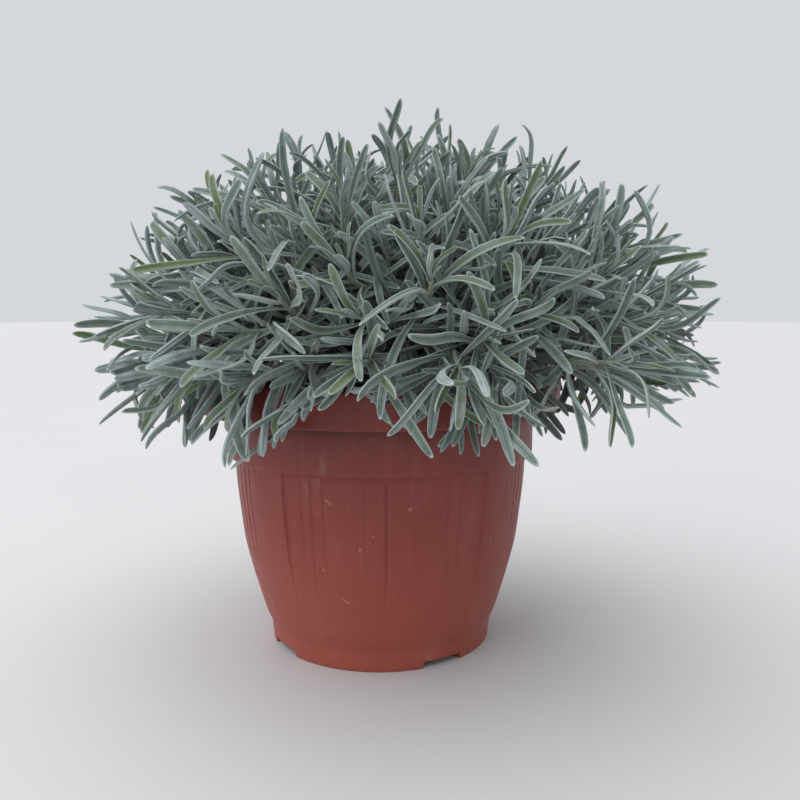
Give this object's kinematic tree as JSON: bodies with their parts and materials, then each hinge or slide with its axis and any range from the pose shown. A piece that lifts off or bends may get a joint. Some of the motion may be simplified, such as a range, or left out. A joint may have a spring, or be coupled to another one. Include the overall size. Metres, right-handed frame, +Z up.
{
  "type": "potted lavender plant",
  "caption": "Bushy grey-green lavender with narrow leaves in a round terracotta-coloured plastic nursery pot with an overhanging rim",
  "frame": {"origin": "on the ground under the middle of the whole plant's outline seen from above; the pot's own axis stands 24 mm to -X and 1 mm to +Y of it, because the plant leans towards +X", "axes": "+Z up along the pot's axis; +X to the viewer's right, towards the side where the shoots reach furthest; -Y towards the viewer"},
  "size_m": [0.4132, 0.3977, 0.3449],
  "materials": {
    "pot_plastic": "terracotta-red moulded plastic, matte with a slight sheen and small pale scuffs",
    "soil": "dark moist peat with bits of bark",
    "bark": "grey-brown woody stems",
    "leaf": "felted grey-green leaves with pale edges"
  },
  "bodies": {
    "root": {"pot": "pot_plastic", "soil": "soil", "woody_base": "bark", "branch_01": "leaf", "branch_02": "leaf", "branch_03": "leaf", "branch_04": "leaf", "branch_05": "leaf", "branch_06": "leaf", "branch_07": "leaf", "branch_08": "leaf", "branch_09": "leaf", "branch_10": "leaf", "branch_11": "leaf", "branch_12": "leaf", "branch_13": "leaf", "branch_14": "leaf", "branch_15": "leaf", "branch_16": "leaf", "branch_17": "leaf", "branch_18": "leaf", "branch_19": "leaf", "branch_20": "leaf", "branch_21": "leaf", "branch_22": "leaf", "branch_23": "leaf", "branch_24": "leaf", "branch_25": "leaf", "branch_26": "leaf", "branch_27": "leaf", "branch_28": "leaf", "branch_29": "leaf", "branch_30": "leaf", "branch_31": "leaf", "branch_32": "leaf", "branch_33": "leaf", "branch_34": "leaf", "branch_35": "leaf", "branch_36": "leaf", "branch_37": "leaf", "branch_38": "leaf", "branch_39": "leaf", "branch_40": "leaf", "branch_41": "leaf", "branch_42": "leaf", "branch_43": "leaf", "branch_44": "leaf", "branch_45": "leaf", "branch_46": "leaf", "branch_47": "leaf", "branch_48": "leaf", "branch_49": "leaf", "branch_50": "leaf", "branch_51": "leaf", "branch_52": "leaf"}
  },
  "joints": []
}
